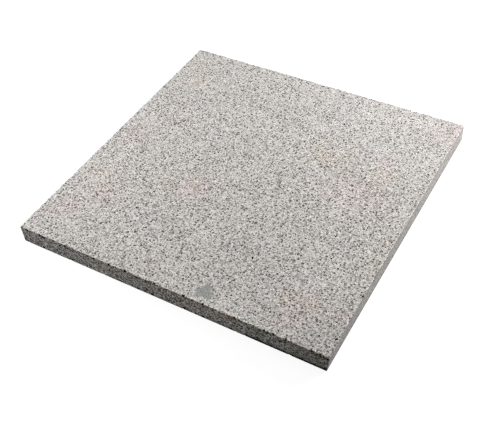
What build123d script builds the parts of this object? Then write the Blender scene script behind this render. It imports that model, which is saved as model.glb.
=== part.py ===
from build123d import *
import os

# A square granite slab, sawn from one piece of stone, with a flamed top face.
# Frame: origin at the centre of the underside, +Z up through the thickness,
# +X and +Y along two neighbouring sides. Millimetres.

# Driving dimensions
SIDE = 500.0                # length of each side of the square
THICKNESS = 32.0            # underside to the highest grains; nominally a 30 mm slab
TOP_ARRIS = 1.2             # setback of the top edges, where flaming spalls the stone
BOTTOM_ARRIS = 0.6          # setback of the bottom edges, eased after sawing
CORNER_ARRIS = 1.0          # setback of the four upright edges


def sawn_block():
    """The slab as the saw leaves it, resting on the XY plane."""
    return Box(SIDE, SIDE, THICKNESS, align=(Align.CENTER, Align.CENTER, Align.MIN))


def upright_edges(block):
    """The four edges that run through the thickness."""
    return block.edges().filter_by(Axis.Z)


def edges_around(face):
    """The outline of one of the two broad faces."""
    return face.outer_wire().edges()


def granite_slab():
    """The finished slab: every arris is eased by its own small setback."""
    slab = chamfer(upright_edges(sawn_block()), CORNER_ARRIS)
    slab = chamfer(edges_around(slab.faces().sort_by(Axis.Z)[-1]), TOP_ARRIS)
    slab = chamfer(edges_around(slab.faces().sort_by(Axis.Z)[0]), BOTTOM_ARRIS)
    return slab


os.makedirs("parts", exist_ok=True)
export_step(granite_slab(), "parts/granite_slab.step")
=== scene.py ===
"""A square granite slab with a flamed top face and sawn sides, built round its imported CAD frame.

Lengths are in millimetres until a mesh, lamp or camera is made: MM turns them into metres.
"""

import math
import random

import bpy
import numpy as np
from mathutils import Matrix, Vector, noise


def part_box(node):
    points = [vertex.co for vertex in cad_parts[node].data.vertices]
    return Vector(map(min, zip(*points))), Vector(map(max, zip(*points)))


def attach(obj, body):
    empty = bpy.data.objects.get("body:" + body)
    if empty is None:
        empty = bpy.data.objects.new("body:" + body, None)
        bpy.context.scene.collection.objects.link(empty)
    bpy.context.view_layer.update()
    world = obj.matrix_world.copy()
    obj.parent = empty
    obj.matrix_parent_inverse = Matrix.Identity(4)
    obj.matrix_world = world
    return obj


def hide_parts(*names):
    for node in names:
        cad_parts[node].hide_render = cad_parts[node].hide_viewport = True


MM = 0.001

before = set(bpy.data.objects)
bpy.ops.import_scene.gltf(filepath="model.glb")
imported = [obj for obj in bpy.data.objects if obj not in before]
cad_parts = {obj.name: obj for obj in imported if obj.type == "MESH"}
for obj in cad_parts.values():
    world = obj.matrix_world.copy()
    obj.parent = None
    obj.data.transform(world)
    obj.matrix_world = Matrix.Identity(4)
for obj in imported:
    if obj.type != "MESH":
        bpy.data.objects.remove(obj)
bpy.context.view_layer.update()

# The slab, from the frame
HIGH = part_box("granite_slab")[1] / MM
HALF = HIGH.x                   # half of a side
TOP = HIGH.z                    # height of the highest grains

# How finely the mesh is divided
CELLS = 216                     # squares along a side of the top face
JITTER = 0.28                   # how far a point of the top face may stray, in squares
FINE = 2                        # rim columns to one square of the top face
COARSE = 8                      # rim columns to one square of the underside
COLUMNS = CELLS * FINE          # columns along each side
RING = 4 * COLUMNS              # points in one ring round the stone
RIM_INSETS = (5.5, 4.2, 3.1, 2.1, 1.3, 0.6, 0.2, 0.0)
RIM = RIM_INSETS[0]             # width of the finely divided rim of the top face
SIDE_DROPS = (0.4, 1.0, 1.8, 2.8, 4.2, 7.0, 12.0, 18.0, 23.0, 26.0, 28.0, 29.2, 30.0)
UNDER_INSETS = (0.5, 1.5, 3.5)
UNDER_RIM = 5.5                 # width of the rim of the underside

# The relief of the top face, where the flame works less along the rim
BEND_SHIFTS = (Vector((0, 0, 0)), Vector((9.3, 1.5, 7.9)), Vector((6.3, 0.2, 2.7)))
RIM_LEVEL = -0.15               # the level that the rim stays near, from TOP
RIM_RELIEF = 0.3                # share of the relief that is left at the very edge

# The arrises: their bevels are between these widths, and small chips are knocked out of them
TOP_BEVEL = (0.05, 0.55)
UNDER_BEVEL = (0.05, 0.4)
CHIP_LEVEL = TOP - 0.5          # height of the top arris at its chips
FRONT_CHIPS = (                 # in the front top arris: place along the side, half length, depth
    (-245, 3.0, 1.1), (-221, 2.6, 0.7), (-212, 2.2, 0.6), (-181, 2.8, 0.8), (-171, 2.0, 0.5),
    (-118, 3.5, 0.7), (-90, 3.0, 0.6), (-62, 2.4, 0.8), (-47, 4.0, 0.7), (-15, 3.0, 0.6),
    (35, 4.2, 0.8), (48, 2.2, 0.7), (65, 4.5, 0.8), (100, 6.5, 1.0), (115, 2.6, 0.7),
    (157, 3.4, 0.8), (165, 2.2, 0.7), (172, 3.0, 0.7), (191, 3.2, 0.7), (228, 3.6, 0.9),
    (238, 4.0, 1.1), (249, 4.5, 1.5),
)
RANDOM_CHIPS = 46               # in each of the other three top arrises
UNDER_CHIPS = 22                # in each bottom arris

# The right side leans out of square over its height
LEAN = 0.9                      # how far, in its front half
SPUR = 3.2                      # how much further at the front right corner
SPUR_LENGTH = 40.0              # how far along the side that dies away

# What the mesh tells the material
FLAMED_ARRIS = 0.6              # how flamed an arris looks, from 0, sawn, to 1
FLAMED_CHIP = 0.7
SHEEN_VEIL = (0.0, 0.55, 0.65, 0.65)  # a pale veil of painted sheen on the front, right, back and left sides

random.seed(20)


# ---------------------------------------------------------------- the mesh

def square_ring(half, count):
    """Points round a square, count to a side, anticlockwise from its front left corner."""
    along = np.arange(count) / count * 2 * half - half
    edge = np.full(count, half)
    x = np.concatenate([along, edge, -along, -edge])
    y = np.concatenate([-edge, along, edge, -along])
    return np.stack([x, y], axis=1)


def square_grid(half, cells):
    """Points of a square grid, and the indices of its outline, anticlockwise from front left."""
    line = np.linspace(-half, half, cells + 1)
    x, y = np.meshgrid(line, line)
    index = np.arange((cells + 1) ** 2).reshape(cells + 1, cells + 1)
    outline = np.concatenate([index[0, :-1], index[:-1, -1], index[-1, :0:-1], index[:0:-1, 0]])
    return np.stack([x.ravel(), y.ravel()], axis=1), index, outline


def grid_faces(index, up):
    """Squares between grid points, facing up or down."""
    a, b, c, d = index[:-1, :-1], index[:-1, 1:], index[1:, 1:], index[1:, :-1]
    order = (a, b, c, d) if up else (a, d, c, b)
    return np.stack([corner.ravel() for corner in order], axis=1).tolist()


def strip_faces(first, second):
    """Squares between two rings with as many points each."""
    return np.stack([first, second, np.roll(second, -1), np.roll(first, -1)], axis=1).tolist()


def zip_faces(coarse, fine, outward):
    """Triangles between a coarse ring and one with a whole multiple of its points."""
    ratio = len(fine) // len(coarse)
    faces = []
    for i, a in enumerate(coarse):
        b = coarse[(i + 1) % len(coarse)]
        points = [fine[(i * ratio + j) % len(fine)] for j in range(ratio + 1)]
        middle = points[ratio // 2]
        faces.append((a, middle, b))
        for j in range(ratio):
            apex = a if j < ratio // 2 else b
            faces.append((apex, points[j], points[j + 1]))
    return [face if outward else face[::-1] for face in faces]


def add_mask(mesh, name, values):
    """Stores one number for each point, for the material to read."""
    mesh.attributes.new(name, "FLOAT", "POINT").data.foreach_set("value", values.astype(np.float32))


def smoothstep(value, low, high):
    """0 below low, 1 above high, and a smooth climb between."""
    t = np.clip((value - low) / (high - low), 0.0, 1.0)
    return t * t * (3 - 2 * t)


def bell(value, middle, width):
    """1 at the middle of a band, and down to 0 on both sides of it."""
    return np.exp(-((value - middle) / width) ** 2)


def flamed_height(x, y):
    """Height of the flamed face, from no fixed level: shallow spalls with crests between them."""
    place = Vector((x, y, 0.0))
    swell = noise.noise(place / 62)
    lumps = noise.noise(place / 17 + Vector((7.1, 3.3, 0)))
    bend = [noise.noise(place / 8 + shift) for shift in BEND_SHIFTS]
    bent = place + 3.0 * Vector(bend)
    spall = noise.voronoi(bent / 8.5)[0][0]
    small = noise.voronoi(bent / 4.6 + Vector((31.7, 11.9, 0)))[0][0]
    grit = noise.noise(place / 3.4 + Vector((1.7, 9.2, 4.4)))
    return 0.16 * swell + 0.13 * lumps + 0.42 * spall ** 2 + 0.20 * small ** 2 + 0.07 * grit


def sawn_hollow(place):
    """How far the saw cut in at a place on a side, in a long shallow wander and fine ripples."""
    wander = 0.5 + 0.5 * noise.noise(place / 90)
    ripple = 0.5 + 0.5 * noise.noise(Vector((place.x / 30, place.y / 30, place.z / 5)))
    return 0.06 * wander + 0.04 * ripple


def arris_setback(x, y, seed, least, most):
    """Width of the small bevel along an arris, which changes from grain to grain."""
    place = Vector((x, y, seed))
    slow = 0.5 + 0.5 * noise.noise(place / 19)
    quick = 0.5 + 0.5 * noise.noise(place / 3.2)
    return least + (most - least) * (0.55 * slow + 0.45 * quick)


def ease_arris(points, normal, drop, up, seed, least, most):
    """Bevels the arris between a side and a broad face that lies drop away: up is 1 for the top face."""
    inset = HALF - points[:, :2] @ normal
    for i in np.flatnonzero(inset + drop < most):
        x, y = points[i, :2] + normal * inset[i]
        cut = arris_setback(x, y, seed, least, most) - inset[i] - drop[i]
        if cut > 0:
            points[i, :2] -= normal * cut / 2
            points[i, 2] -= up * cut / 2
    return points


def carve(points, centre, radius, roughness):
    """Pushes the points in a ball out to its surface, so that it leaves a scallop, and returns them."""
    away = points - centre
    distance = np.linalg.norm(away, axis=1)
    touched = np.flatnonzero(distance < radius)
    for i in touched:
        wobble = 1 + roughness * noise.noise(Vector(points[i]) / 2.6)
        if distance[i] < radius * wobble:
            moved = centre + away[i] / distance[i] * radius * wobble
            points[i] = np.clip(moved, (-HALF, -HALF, 0), (HALF, HALF, TOP))
    return touched


def painted_side_shade(side, along, z):
    """Painted shade on a side, as the share of light that it keeps back: a little, a band of painted
    shadow, under the top arris, and more painted shade below, with a painted contact shadow along the
    bottom of the front side.
    """
    is_front = side == 0
    right = smoothstep(along, -20, 200) if is_front else 0.3
    middle = smoothstep(along, -140, -60) if is_front else 0.5
    under_top = 0.20 * bell(z, TOP - 3.5, 1.6)
    at_bottom = (0.06 + 0.22 * middle + 0.18 * right) * bell(z, 0, 5)
    wide = 0.28 * right ** 2 * bell(z, 0, 13)
    # A painted contact shadow along the bottom arris of the right half of the front side
    contact_shadow = 0.97 * smoothstep(along, 115, 150) * bell(z, 2, 3.1) if is_front else 0.0
    return 1 - (1 - under_top) * (1 - at_bottom) * (1 - wide) * (1 - contact_shadow)


def lean_out(points):
    """Leans the right side out, most of all at its front corner; the top face stretches near it."""
    x, y, z = points.T
    reach = LEAN * smoothstep(-y, -150, 0) + SPUR * bell(y, -HALF, SPUR_LENGTH)
    points[:, 0] += reach * z / TOP * smoothstep(x, HALF - 30, HALF)


def chip(points, along, normal, height, up, half_length, depth):
    """A conchoidal chip out of the arris between the side that faces normal and a broad face."""
    radius = (half_length ** 2 + depth ** 2) / (2 * depth)
    tangent = np.array([-normal[1], normal[0]])
    lean = random.uniform(0.5, 1.1)
    outward = np.array([*(normal * lean), up])
    outward /= np.linalg.norm(outward)
    edge = np.array([*(normal * HALF + tangent * along), height])
    return carve(points, edge + outward * (radius - depth), radius, 0.05)


SIDES = tuple(np.array(n, float) for n in ((0, -1), (1, 0), (0, 1), (-1, 0)))


def upper_surface():
    """The top face and its rim: the indices and the outline of its grid, and the points of both."""
    grid_xy, index, outline = square_grid(HALF - RIM, CELLS)
    spacing = grid_xy[1, 0] - grid_xy[0, 0]
    for i in np.setdiff1d(index.ravel(), outline):
        grid_xy[i, 0] += random.uniform(-JITTER, JITTER) * spacing
        grid_xy[i, 1] += random.uniform(-JITTER, JITTER) * spacing
    xy = np.concatenate([grid_xy, *(square_ring(HALF - inset, COLUMNS) for inset in RIM_INSETS)])
    heights = np.array([flamed_height(x, y) for x, y in xy])
    heights -= heights.max()
    inset = HALF - np.abs(xy).max(axis=1)
    relief = RIM_RELIEF + (1 - RIM_RELIEF) * smoothstep(inset, 0, 6)
    heights = TOP + RIM_LEVEL + (heights - RIM_LEVEL) * relief
    return index, outline, np.column_stack([xy, heights])


def under_surface():
    """The flat underside, in the same order: its rim comes first, and then its grid."""
    rings = [square_ring(HALF - inset, COLUMNS) for inset in UNDER_INSETS]
    grid_xy, index, outline = square_grid(HALF - UNDER_RIM, COLUMNS // COARSE)
    xy = np.concatenate([*rings, grid_xy])
    return index, outline, np.column_stack([xy, np.zeros(len(xy))])


def side_rows(arris):
    """The rows of points down the sides, under the ring of the top arris."""
    rows = []
    for drop in SIDE_DROPS:
        row = arris.copy()
        row[:, 2] *= 1 - drop / TOP
        rows.append(row)
    return rows


def hollow_sides(points):
    """Moves the points of the sides in, as the saw wandered."""
    for point in points:
        hollow = sawn_hollow(Vector(point))
        for normal in SIDES:
            if HALF - point[:2] @ normal < 1e-6:
                point[:2] -= normal * hollow


def painted_side_light(points):
    """How much painted shade the points of the sides take, and how much of a pale veil of painted sheen
    lies on them.
    """
    painted_shade = np.zeros(len(points))
    sheen_veil = np.zeros(len(points))
    for side, normal in enumerate(SIDES):
        on_side = np.flatnonzero(points[:, :2] @ normal > HALF - 0.5)
        along = points[on_side, :2] @ np.array([-normal[1], normal[0]])
        painted_shade[on_side] = painted_side_shade(side, along, points[on_side, 2])
        sheen_veil[on_side] = SHEEN_VEIL[side]
    return painted_shade, sheen_veil


def ease_arrises(points, depth):
    """Bevels along all the arrises; depth is how far each point lay under the flamed face."""
    rise = points[:, 2].copy()
    for side, normal in enumerate(SIDES):
        ease_arris(points, normal, depth, 1, 3 + side, *TOP_BEVEL)
        ease_arris(points, normal, rise, -1, 53 + side, *UNDER_BEVEL)


def knock_chips(points, flamed):
    """Chips out of all the arrises; those in the top ones are marked as part flamed."""
    for side, normal in enumerate(SIDES):
        top_chips = FRONT_CHIPS if side == 0 else [
            (random.uniform(-HALF, HALF), random.uniform(1.4, 4.6), random.uniform(0.4, 1.1))
            for _ in range(RANDOM_CHIPS)]
        for along, half_length, depth in top_chips:
            flamed[chip(points, along, normal, CHIP_LEVEL, 1, half_length, depth)] = FLAMED_CHIP
        for _ in range(UNDER_CHIPS):
            chip(points, random.uniform(-HALF, HALF), normal, 0, -1,
                 random.uniform(1.2, 4.0), random.uniform(0.3, 0.9))


def slab_mesh():
    """One closed mesh of the whole stone, from the middle of the top to the middle of the underside."""
    top_index, top_outline, upper = upper_surface()
    under_index, under_outline, under = under_surface()
    sides = side_rows(upper[-RING:])
    points = np.concatenate([upper, *sides, under])
    on_sides = slice(len(upper) - RING, len(upper) + len(sides) * RING)
    depth = np.concatenate([np.zeros(len(upper)), *(upper[-RING:, 2] - row[:, 2] for row in sides),
                            np.full(len(under), TOP)])

    flamed = np.zeros(len(points))
    flamed[:len(upper)] = 1.0
    flamed[len(upper) - RING:len(upper)] = FLAMED_ARRIS
    # Painted shade and a pale veil of painted sheen on the sides, for the material
    painted_shade = np.zeros(len(points))
    sheen_veil = np.zeros(len(points))
    hollow_sides(points[on_sides])
    painted_shade[on_sides], sheen_veil[on_sides] = painted_side_light(points[on_sides])
    ease_arrises(points, depth)
    knock_chips(points, flamed)
    lean_out(points)

    ring_count = len(RIM_INSETS) + len(SIDE_DROPS) + len(UNDER_INSETS)
    first_ring = len(upper) - len(RIM_INSETS) * RING
    rows = [np.arange(RING) + first_ring + k * RING for k in range(ring_count)]
    under_start = first_ring + ring_count * RING
    faces = grid_faces(top_index, True)
    faces += zip_faces(top_outline, rows[0], True)
    for first, second in zip(rows, rows[1:]):
        faces += strip_faces(first, second)
    faces += zip_faces(under_outline + under_start, rows[-1], False)
    faces += grid_faces(under_index + under_start, False)

    mesh = bpy.data.meshes.new("granite_slab_stone")
    mesh.from_pydata((points * MM).tolist(), [], faces)
    mesh.update()
    for face in mesh.polygons:
        face.use_smooth = True
    mesh.set_sharp_from_angle(angle=math.radians(38))
    # The flamed mask, the painted shade and the painted sheen, stored for the material
    for name, values in (("flamed", flamed), ("painted_shade", painted_shade), ("sheen_veil", sheen_veil)):
        add_mask(mesh, name, values)
    return mesh


# ------------------------------------------------------------ the material

class Tree:
    """Adds nodes to a material. Each method returns the socket that it makes."""

    def __init__(self, material):
        material.use_nodes = True
        self.nodes = material.node_tree.nodes
        self.links = material.node_tree.links
        self.nodes.clear()

    def add(self, kind, inputs, **settings):
        node = self.nodes.new(kind)
        for name, value in settings.items():
            setattr(node, name, value)
        for name, value in inputs.items():
            socket = node.inputs[name]
            if isinstance(value, bpy.types.NodeSocket):
                self.links.new(value, socket)
            else:
                socket.default_value = value
        return node

    def math(self, operation, a, b):
        node = self.add("ShaderNodeMath", {0: a, 1: b}, operation=operation)
        return node.outputs[0]

    def vector(self, operation, a, b):
        key = "Scale" if operation == "SCALE" else 1
        node = self.add("ShaderNodeVectorMath", {0: a, key: b}, operation=operation)
        return node.outputs["Value" if operation in ("LENGTH", "DISTANCE") else "Vector"]

    def mix(self, factor, a, b, blend="MIX"):
        node = self.add("ShaderNodeMix", {}, data_type="RGBA", blend_type=blend)
        for index, value in ((0, factor), (6, a), (7, b)):
            if isinstance(value, bpy.types.NodeSocket):
                self.links.new(value, node.inputs[index])
            else:
                node.inputs[index].default_value = value
        return node.outputs[2]

    def mask(self, name):
        """What the mesh stores under that name."""
        return self.add("ShaderNodeAttribute", {}, attribute_name=name).outputs["Fac"]

    def axes(self, place):
        """The x, y and z of a place."""
        node = self.add("ShaderNodeSeparateXYZ", {"Vector": place})
        return tuple(node.outputs)

    def between(self, value, low, high):
        """0 below low, 1 above high, and a smooth climb between."""
        node = self.add("ShaderNodeMapRange", {"Value": value, "From Min": low, "From Max": high},
                        interpolation_type="SMOOTHSTEP")
        return node.outputs["Result"]

    def noise(self, place, size, detail=2.0, output="Fac"):
        node = self.add("ShaderNodeTexNoise", {"Vector": place, "Scale": 1 / size, "Detail": detail})
        return node.outputs[output]

    def crystals(self, place, size):
        """Three random numbers and the middle of each crystal of about that size."""
        node = self.add("ShaderNodeTexVoronoi", {"Vector": place, "Scale": 1 / size})
        split = self.add("ShaderNodeSeparateColor", {"Color": node.outputs["Color"]})
        return [split.outputs[name] for name in ("Red", "Green", "Blue")] + [node.outputs["Position"]]

    def dots(self, place, size):
        """Evenly scattered points: the distance to the nearest, and two random numbers for it."""
        node = self.add("ShaderNodeTexVoronoi", {"Vector": place, "Scale": 1 / size, "Randomness": 0.75})
        split = self.add("ShaderNodeSeparateColor", {"Color": node.outputs["Color"]})
        distance = self.math("MULTIPLY", node.outputs["Distance"], size)
        return distance, split.outputs["Red"], split.outputs["Green"]

    def past_rim(self, place, spots):
        """Distance past the rim of the nearest of some balls (x, y, z, radius), below 0 inside one."""
        nearest = None
        for x, y, z, radius in spots:
            away = self.math("SUBTRACT", self.vector("DISTANCE", place, (x, y, z)), radius)
            nearest = away if nearest is None else self.math("MINIMUM", nearest, away)
        return nearest

    def ramp(self, value, stops, interpolation="LINEAR"):
        node = self.add("ShaderNodeValToRGB", {"Fac": value})
        ramp = node.color_ramp
        ramp.interpolation = interpolation
        ramp.elements.remove(ramp.elements[0])
        for i, (position, colour) in enumerate(stops):
            element = ramp.elements[0] if i == 0 else ramp.elements.new(position)
            element.position = position
            element.color = opaque(colour)
        return node.outputs["Color"]


def grey(level, warmth=1.0):
    """A warm stone grey of that reflectance. A darker one takes more tint to look as warm."""
    tint = 0.0245 * warmth * level ** -0.46
    return (level * (1 + 0.9 * tint), level, level * (1 - tint))


MINERALS = (                    # share of crystals up to here, colour
    (0.00, grey(0.65)),         # feldspar, off-white
    (0.20, grey(0.75)),
    (0.40, grey(0.57, 1.3)),
    (0.56, grey(0.50)),
    (0.70, grey(0.41, 1.2)),    # quartz, grey
    (0.86, grey(0.33, 1.3)),
    (0.96, grey(0.20, 1.6)),    # biotite clots
)
FINE_MINERALS = (
    (0.00, grey(0.70)),
    (0.30, grey(0.59)),
    (0.55, grey(0.47, 1.1)),
    (0.78, grey(0.36, 1.3)),
    (0.93, grey(0.18, 1.6)),
)
FLAKES = (                      # biotite, from the few that stand up black to the many worn to grey
    (0.00, grey(0.02)),
    (0.16, grey(0.06, 1.5)),
    (0.42, grey(0.14, 1.6)),
    (0.90, grey(0.27, 1.6)),
)
TINTS = {                       # faint stains: colour, and places of x, y, radius, strength
    "pink": ((1.03, 0.965, 0.975), (
        (162, 33, 44, 0.9), (172, 115, 22, 0.6), (-59, -70, 26, 1.0), (-183, -139, 26, 0.9),
        (-209, -187, 24, 0.9), (-196, 43, 20, 0.8), (-219, -9, 20, 0.7), (244, 219, 32, 0.8),
        (182, -196, 28, 1.0), (240, -186, 16, 0.8), (121, 120, 16, 0.5), (150, 220, 18, 0.6))),
    "ochre": ((1.03, 0.99, 0.92), (
        (91, 82, 22, 0.8), (69, 113, 14, 0.6), (182, 83, 18, 0.6), (-232, 204, 18, 0.7),
        (-208, 164, 20, 0.8), (-145, 242, 14, 0.5), (-105, -79, 14, 0.5), (-69, -55, 14, 0.6),
        (-209, -97, 18, 0.6), (201, -186, 13, 0.8), (165, -190, 14, 0.6), (248, -142, 6, 1.0),
        (245, -86, 8, 0.6))),
    "grey": ((0.88, 0.88, 0.88), (
        (240, -240, 60, 1.0), (-245, -245, 70, 0.6), (250, 250, 80, 0.6), (235, 60, 40, 0.4),
        (90, -90, 110, 0.3))),
    "green": ((0.965, 1.01, 0.985), (
        (59, -80, 16, 0.8), (-190, -221, 14, 0.6), (-128, -55, 14, 0.6), (216, -112, 12, 0.6),
        (132, -246, 12, 0.7), (244, -69, 12, 0.6))),
}
DARK_SPECKS = (                 # single clots of biotite in the top face: x, y, radius
    (84, -195, 1.7), (86, -149, 1.7), (-149, -66, 1.5), (248, -220, 1.6), (160, 21, 1.6),
    (77, 170, 1.8), (-103, -175, 1.5), (31, -69, 1.5), (-117, -140, 1.4), (-47, -62, 1.4),
    (74, 25, 1.3), (-60, -128, 1.3), (64, -71, 1.4), (235, -246, 1.4), (72, -105, 1.3), (12, -6, 1.1),
    (172, -61, 1.2), (-19, -223, 1.2), (184, -101, 1.2), (166, -6, 1.2), (250, -142, 1.7),
    (249, -220, 1.4),
)
FRONT_SPECKS_AND_SHADOWS = (                # dark specks in the front side: a few clots of biotite, most of them painted shadow in the chips and notches of its top and bottom arrises: x, z, radius
    (-238, 29, 2.2), (-213, 30, 2.2), (-206, 28, 2.6), (-177, 25, 1.6), (-167, 30, 2.0),
    (-115, 29, 2.2), (-88, 30, 2.1), (-60, 31, 2.3), (-42, 28, 2.1), (-11, 31, 2.1), (36, 31, 2.1),
    (50, 30, 1.9), (67, 31, 2.1), (116, 31, 2.2), (160, 31, 2.1), (166, 30, 1.9), (174, 31, 2.2),
    (183, 22, 1.9), (192, 31, 2.0), (229, 31, 2.1), (240, 31, 2.0), (245, 31, 1.6), (241, 26, 1.6),
    (246, 27, 1.8), (251, 28, 1.9), (-248, 6, 2.2), (-213, 4, 2.3), (-160, 4, 2.1), (-72, 3, 2.5),
    (-42, 4, 2.5), (-30, 5, 2.2), (-18, 3, 2.9), (35, 4, 2.7), (64, 3, 2.2), (109, 3, 2.7),
    (132, 3, 2.1), (152, 4, 2.3),
)
RUST = (                        # brown stains in the front side: x, z, radius
    (100, 29, 5.0), (109, 30, 5.0), (246, 28, 4.0), (252, 28, 4.0),
)
INCLUSIONS = (                  # fine grained grey-green patches: strength, and discs of x, y, radius
    (0.92, ((55, -233, 7.5), (65, -234, 6.5), (58, -227, 7.5))),
    (0.60, ((119, -75, 3.5), (158, -151, 4.0), (154, -170, 2.5), (217, -181, 2.5), (81, -125, 2.5))),
)


def stain_mask(mesh, name, spots):
    """A soft mask on the mesh, 1 at the middle of a full-strength spot and 0 outside all of them."""
    count = len(mesh.vertices)
    place = np.empty(count * 3)
    mesh.vertices.foreach_get("co", place)
    place = place.reshape(-1, 3) / MM
    mask = np.zeros(count)
    for x, y, radius, strength in spots:
        distance = np.linalg.norm(place - (x, y, TOP), axis=1) / radius
        mask = np.maximum(mask, strength * np.exp(-distance ** 2))
    add_mask(mesh, name, mask)


CRYSTAL = 1.9                   # sizes of the grains, in mm
FINE_CRYSTAL = 1.4
FLAKE_CRYSTAL = 1.1             # the little crystals that flakes and specks of biotite are made of
FLAKE_SPACING = 4.6
FLAME_GREY = grey(0.585)        # what the flame whitens the top face towards
SAWN_GAMMA = 1.9                # the saw leaves the sides clearer, so that their dark grains stand out
SAWN_ABOVE = (1.55, 1.57, 1.56)
SAWN_BELOW = (1.50, 1.57, 1.63)
BLUER_END = (0.99, 1.0, 1.03)   # towards the left side
GREENER_END = (0.955, 1.0, 0.99)    # towards the right side
# Colour of the pale veil of painted sheen on the sides
SHEEN_VEIL_COLOUR = (0.495, 0.465, 0.455)
RUST_COLOUR = (0.98, 0.70, 0.62)
# The black of the specks, and of the painted shadow in the front arrises
SPECK_AND_SHADOW_COLOUR = grey(0.005)
INCLUSION_DARK = (0.19, 0.205, 0.19)
INCLUSION_LIGHT = (0.40, 0.41, 0.39)
FIRST_HUES = ((0.35, (0.972, 0.985, 0.982)), (0.65, (0.985, 0.970, 0.975)))
SECOND_HUES = ((0.35, (0.983, 0.98, 0.994)), (0.65, (0.985, 0.983, 0.970)))


def opaque(colour):
    """The same colour with its alpha."""
    return (*colour, 1.0)


def bending(tree, place, size, reach):
    """A shift that bends whatever is laid out after it, in waves of that size."""
    shift = tree.vector("SUBTRACT", tree.noise(place, size, output="Color"), (0.5, 0.5, 0.5))
    return tree.vector("SCALE", shift, reach)


def ragged(tree, place, size, detail, reach):
    """A distance that wavers about 0, to roughen an outline."""
    wave = tree.math("SUBTRACT", tree.noise(place, size, detail), 0.5)
    return tree.math("MULTIPLY", wave, reach)


def inside(tree, rim, softness):
    """1 inside an outline and 0 outside it, from the distance past its rim."""
    return tree.math("SUBTRACT", 1.0, tree.between(rim, -softness, softness))


def drifts(tree, place, colour):
    """Wide, faint changes of tone and hue, and the stains."""
    tones = ((0.3, grey(0.3)), (0.7, grey(0.7)))
    colour = tree.mix(0.12, colour, tree.ramp(tree.noise(place, 45.0), tones), "OVERLAY")
    colour = tree.mix(1.0, colour, tree.ramp(tree.noise(place, 26.0), FIRST_HUES), "MULTIPLY")
    elsewhere = tree.vector("ADD", place, (300.0, 0.0, 0.0))
    colour = tree.mix(1.0, colour, tree.ramp(tree.noise(elsewhere, 22.0), SECOND_HUES), "MULTIPLY")
    for name, (tint, _) in TINTS.items():
        colour = tree.mix(tree.mask(name), colour, opaque(tint), "MULTIPLY")
    return colour


def with_inclusions(tree, place, colour):
    """Fine-grained patches, ragged at the rim, in the top face."""
    waver = ragged(tree, place, 3.5, 3.0, 6.0)
    grain = tree.ramp(tree.noise(place, 1.5, 4.0), ((0.36, INCLUSION_DARK), (0.64, INCLUSION_LIGHT)))
    for strength, discs in INCLUSIONS:
        rim = tree.past_rim(place, [(x, y, TOP, radius) for x, y, radius in discs])
        share = inside(tree, tree.math("ADD", rim, waver), 1.5)
        colour = tree.mix(tree.math("MULTIPLY", share, strength), colour, grain)
    return colour


def sawn(tree, place, colour, unshaded):
    """The same stone as the saw leaves it, with rust, a pale veil of painted sheen and painted shade; the
    last argument is the share of light that the painted shade leaves.
    """
    x, _, z = tree.axes(place)
    colour = tree.add("ShaderNodeGamma", {"Color": colour, "Gamma": SAWN_GAMMA}).outputs["Color"]
    tint = tree.mix(tree.between(z, 4.0, 28.0), opaque(SAWN_BELOW), opaque(SAWN_ABOVE))
    colour = tree.mix(1.0, colour, tint, "MULTIPLY")
    left = tree.math("SUBTRACT", 1.0, tree.between(x, -170.0, -80.0))
    colour = tree.mix(left, colour, opaque(BLUER_END), "MULTIPLY")
    colour = tree.mix(tree.between(x, 60.0, 180.0), colour, opaque(GREENER_END), "MULTIPLY")
    # A pale veil of painted sheen over the sides, strongest on the back, left and right ones
    colour = tree.mix(tree.mask("sheen_veil"), colour, opaque(SHEEN_VEIL_COLOUR))
    rim = tree.past_rim(place, [(x, -HALF, z, radius) for x, z, radius in RUST])
    share = inside(tree, tree.math("ADD", rim, ragged(tree, place, 3.0, 2.0, 6.0)), 2.0)
    colour = tree.mix(tree.math("MULTIPLY", share, 0.8), colour, opaque(RUST_COLOUR), "MULTIPLY")
    # Painted shade and painted shadow darken the sides here
    return tree.mix(1.0, colour, unshaded, "MULTIPLY")


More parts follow.
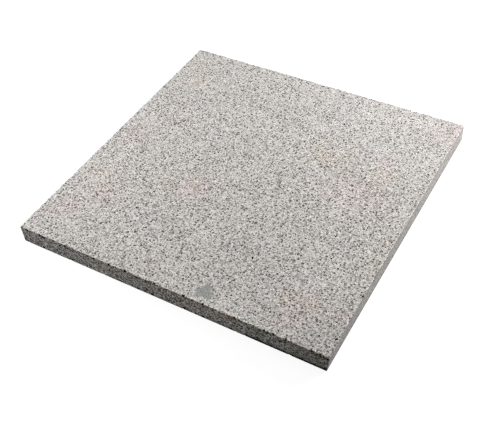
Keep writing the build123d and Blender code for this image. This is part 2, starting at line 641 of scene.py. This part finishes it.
def granite():
    """Light grey granite: crystals through the whole stone, whitened where the flame has spalled it."""
    material = bpy.data.materials.new("granite")
    tree = Tree(material)
    place = tree.vector("SCALE", tree.add("ShaderNodeTexCoord", {}).outputs["Object"], 1 / MM)
    flamed = tree.mask("flamed")
    warped = tree.vector("ADD", tree.vector("ADD", place, bending(tree, place, 5.0, 2.0)),
                         bending(tree, place, 1.2, 0.9))
    kind, shade, lift, _ = tree.crystals(warped, CRYSTAL)
    fine_kind, fine_shade, fine_lift, _ = tree.crystals(warped, FINE_CRYSTAL)
    flake_shade, _, _, middle = tree.crystals(warped, FLAKE_CRYSTAL)

    # Crystals of two sizes, mixed crystal by crystal
    is_fine = tree.math("GREATER_THAN", shade, 0.45)
    colour = tree.mix(is_fine, tree.ramp(kind, MINERALS, "CONSTANT"),
                      tree.ramp(fine_kind, FINE_MINERALS, "CONSTANT"))
    cloud = tree.ramp(tree.noise(place, 2.3, 0.0), ((0.3, grey(0.25)), (0.7, grey(0.75))))
    colour = tree.mix(0.85, colour, cloud, "OVERLAY")

    # Whitened by the flame, more so towards the back
    _, y, _ = tree.axes(place)
    whitened = tree.math("ADD", 0.14, tree.math("MULTIPLY", tree.between(y, -50.0, 250.0), 0.20))
    colour = tree.mix(tree.math("MULTIPLY", flamed, whitened), colour, opaque(FLAME_GREY))

    # Biotite: small flakes, evenly scattered, each made of whole little crystals
    far, chance, width = tree.dots(tree.vector("ADD", middle, (40.0, 70.0, 20.0)), FLAKE_SPACING)
    reach = tree.math("ADD", 1.1, tree.math("MULTIPLY", width, 0.7))
    is_flake = tree.math("LESS_THAN", far, reach)
    wear = tree.math("ADD", tree.math("MULTIPLY", chance, 0.8), tree.math("MULTIPLY", flake_shade, 0.2))
    colour = tree.mix(is_flake, colour, tree.ramp(wear, FLAKES))

    colour = drifts(tree, place, colour)
    colour = with_inclusions(tree, place, colour)
    # The share of light that the painted shade and painted shadow on the sides leave
    unshaded = tree.math("SUBTRACT", 1.0, tree.mask("painted_shade"))
    colour = tree.mix(flamed, sawn(tree, place, colour, unshaded), colour)

    # Single dark specks, and painted shadow in the chips and notches of the front arrises
    specks_and_shadows = [(x, y, TOP - 0.5, radius) for x, y, radius in DARK_SPECKS]
    specks_and_shadows += [(x, -HALF, z, radius) for x, z, radius in FRONT_SPECKS_AND_SHADOWS]
    rim = tree.math("ADD", tree.past_rim(middle, specks_and_shadows), ragged(tree, place, 2.0, 1.0, 2.2))
    in_specks_and_shadows = tree.math("LESS_THAN", rim, 0.0)
    colour = tree.mix(in_specks_and_shadows, colour, opaque(SPECK_AND_SHADOW_COLOUR))

    # Grain relief, in millimetres
    height = tree.math("MULTIPLY", tree.mix(is_fine, lift, fine_lift), 0.32)
    height = tree.math("ADD", height, tree.math("MULTIPLY", tree.noise(place, 1.8, 3.0), 0.5))
    height = tree.math("SUBTRACT", height, tree.math("MULTIPLY", is_flake, 0.20))
    strength = tree.math("ADD", tree.math("MULTIPLY", flamed, 0.80), 0.12)
    bump = tree.add("ShaderNodeBump", {"Height": height, "Distance": MM, "Strength": strength})

    # The flame leaves it rougher, and the black specks, the painted shadow and the painted shade don't
    # shine
    roughness = tree.math("ADD", 0.50, tree.math("MULTIPLY", flamed, 0.22))
    roughness = tree.math("ADD", roughness, tree.math("MULTIPLY", fine_shade, 0.16))
    shine = tree.math("MULTIPLY", tree.math("SUBTRACT", 0.5, tree.math("MULTIPLY", in_specks_and_shadows, 0.5)), unshaded)
    shader = tree.add("ShaderNodeBsdfPrincipled", {
        "Base Color": colour, "Roughness": roughness, "Specular IOR Level": shine,
        "Normal": bump.outputs["Normal"]})
    tree.add("ShaderNodeOutputMaterial", {"Surface": shader.outputs["BSDF"]})
    return material


# --------------------------------------------------- camera, light and floor

EYE = (0.9807, -1.5406, 1.6753)     # in sides of the slab, from the middle of its top face
TURN, TILT, ROLL = 32.56, 43.66, -4.27      # degrees
LENS = 60.41                    # focal length, for a sensor 36 mm wide
SHIFT = (-0.0306, 0.0252)
BACKDROP = 1.0                  # brightness of the backdrop and of the floor, to the eye
FLOOR_GLOW = 0.86
FLOOR_LIT = 0.28                # what the floor adds where light falls on it
FLOOR_DIM = 0.06                # what it gives back to the slab
FILL = 0.30                     # the even light on the slab


def camera():
    """The eye stands off the front right of the slab and looks down on it at about 45 degrees."""
    data = bpy.data.cameras.new("camera")
    data.sensor_width = 36.0
    data.lens = LENS
    data.shift_x, data.shift_y = SHIFT
    data.clip_start, data.clip_end = 0.01, 100
    eye = bpy.data.objects.new("camera", data)
    place = Vector(EYE) * 2 * HALF + Vector((0, 0, TOP))
    turn, tilt, roll = math.radians(TURN), math.radians(TILT), math.radians(ROLL)
    eye.matrix_world = (Matrix.Translation(place * MM) @ Matrix.Rotation(turn, 4, "Z")
                        @ Matrix.Rotation(tilt, 4, "X") @ Matrix.Rotation(roll, 4, "Z"))
    bpy.context.scene.collection.objects.link(eye)
    bpy.context.scene.camera = eye


def softbox(name, direction, elevation, distance, size, power):
    """A square area light that faces the slab. Its direction turns from +X; degrees and metres."""
    data = bpy.data.lights.new(name, "AREA")
    data.shape = "SQUARE"
    data.size = size
    data.energy = power
    lamp = bpy.data.objects.new(name, data)
    turn, rise = math.radians(direction), math.radians(elevation)
    lamp.location = distance * Vector((math.cos(rise) * math.cos(turn), math.cos(rise) * math.sin(turn),
                                       math.sin(rise)))
    lamp.rotation_mode = "QUATERNION"
    lamp.rotation_quaternion = lamp.location.to_track_quat("Z", "Y")
    lamp.visible_camera = False
    bpy.context.scene.collection.objects.link(lamp)


def floor():
    """A plain pale floor that throws little light back on the slab's sides."""
    half = 20.0                 # metres
    mesh = bpy.data.meshes.new("floor")
    corners = [(-half, -half, 0), (half, -half, 0), (half, half, 0), (-half, half, 0)]
    mesh.from_pydata(corners, [], [(0, 1, 2, 3)])
    piece = bpy.data.objects.new("floor", mesh)
    material = bpy.data.materials.new("floor")
    tree = Tree(material)
    seen = tree.add("ShaderNodeLightPath", {}).outputs["Is Camera Ray"]
    glow = tree.add("ShaderNodeEmission", {"Color": (1, 1, 1, 1), "Strength": FLOOR_GLOW})
    lit = tree.add("ShaderNodeBsdfDiffuse", {"Color": opaque((FLOOR_LIT,) * 3)})
    pale = tree.add("ShaderNodeAddShader", {0: glow.outputs[0], 1: lit.outputs[0]})
    dim = tree.add("ShaderNodeBsdfDiffuse", {"Color": opaque((FLOOR_DIM,) * 3)})
    shader = tree.add("ShaderNodeMixShader", {0: seen, 1: dim.outputs[0], 2: pale.outputs[0]})
    tree.add("ShaderNodeOutputMaterial", {"Surface": shader.outputs[0]})
    mesh.materials.append(material)
    bpy.context.scene.collection.objects.link(piece)


def surroundings():
    """A white backdrop to the eye, and a weak even light on the slab."""
    world = bpy.data.worlds.new("studio")
    bpy.context.scene.world = world
    tree = Tree(world)
    seen = tree.add("ShaderNodeLightPath", {}).outputs["Is Camera Ray"]
    backdrop = tree.add("ShaderNodeBackground", {"Color": (1, 1, 1, 1), "Strength": BACKDROP})
    fill = tree.add("ShaderNodeBackground", {"Color": (1, 1, 1, 1), "Strength": FILL})
    shader = tree.add("ShaderNodeMixShader", {0: seen, 1: fill.outputs[0], 2: backdrop.outputs[0]})
    tree.add("ShaderNodeOutputWorld", {"Surface": shader.outputs[0]})


mesh = slab_mesh()
for name, (_, spots) in TINTS.items():
    stain_mask(mesh, name, spots)
mesh.materials.append(granite())
stone = bpy.data.objects.new("granite_slab_stone", mesh)
bpy.context.scene.collection.objects.link(stone)
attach(stone, "root")
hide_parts("granite_slab")

camera()
softbox("key", direction=53, elevation=22, distance=1.30, size=0.8, power=26.2)
softbox("fill", direction=197, elevation=20, distance=0.96, size=0.6, power=8.0)
floor()
surroundings()
bpy.context.scene.view_settings.view_transform = "Standard"
bpy.context.scene.cycles.use_denoising = False      # it would blur the grain of the stone
bpy.context.scene.cycles.filter_width = 1.45
